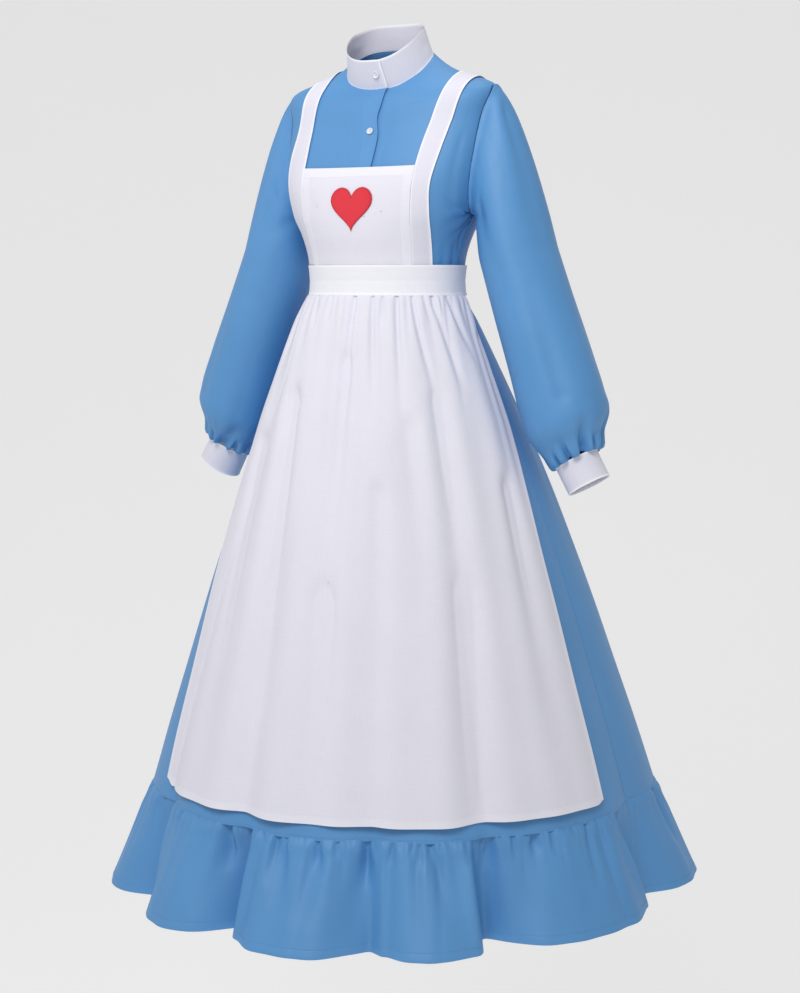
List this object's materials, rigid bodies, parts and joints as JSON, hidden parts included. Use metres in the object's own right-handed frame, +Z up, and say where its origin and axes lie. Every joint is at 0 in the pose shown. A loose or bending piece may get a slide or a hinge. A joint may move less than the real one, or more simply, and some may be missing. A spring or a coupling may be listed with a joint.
{
  "type": "full-length bib-apron uniform dress",
  "caption": "Full-length stand-collar dress with gathered bishop sleeves, hem flounce and a white bib apron, filled out as worn and open at neck, cuffs and hem.",
  "frame": {"origin": "in the middle of the neckline, just above the side neck points, where the wearer's shoulders carry the dress", "axes": "+Z up along the worn garment, -Y the way the wearer faces, +X the wearer's left"},
  "size_m": [0.9789, 1.0185, 1.4188],
  "materials": {
    "blue_poplin": "smooth mid-blue poplin",
    "white_band_cloth": "white interfaced cotton",
    "white_apron_cloth": "smooth white cotton",
    "red_applique": "red cotton applique",
    "white_button": "polished white resin"
  },
  "bodies": {
    "root": {"bodice_front_right": "blue_poplin", "bodice_front_left": "blue_poplin", "bodice_back": "blue_poplin", "sleeve_right": "blue_poplin", "sleeve_left": "blue_poplin", "skirt_front": "blue_poplin", "skirt_back": "blue_poplin", "hem_flounce_front": "blue_poplin", "hem_flounce_back": "blue_poplin", "cuff_right": "white_band_cloth", "cuff_left": "white_band_cloth", "collar": "white_band_cloth", "apron_waistband": "white_apron_cloth", "apron_bib": "white_apron_cloth", "apron_strap_right": "white_apron_cloth", "apron_strap_left": "white_apron_cloth", "apron_skirt": "white_apron_cloth", "bib_heart": "red_applique", "placket_button": "white_button", "collar_button": "white_button", "waistband_button": "white_button"}
  },
  "joints": []
}
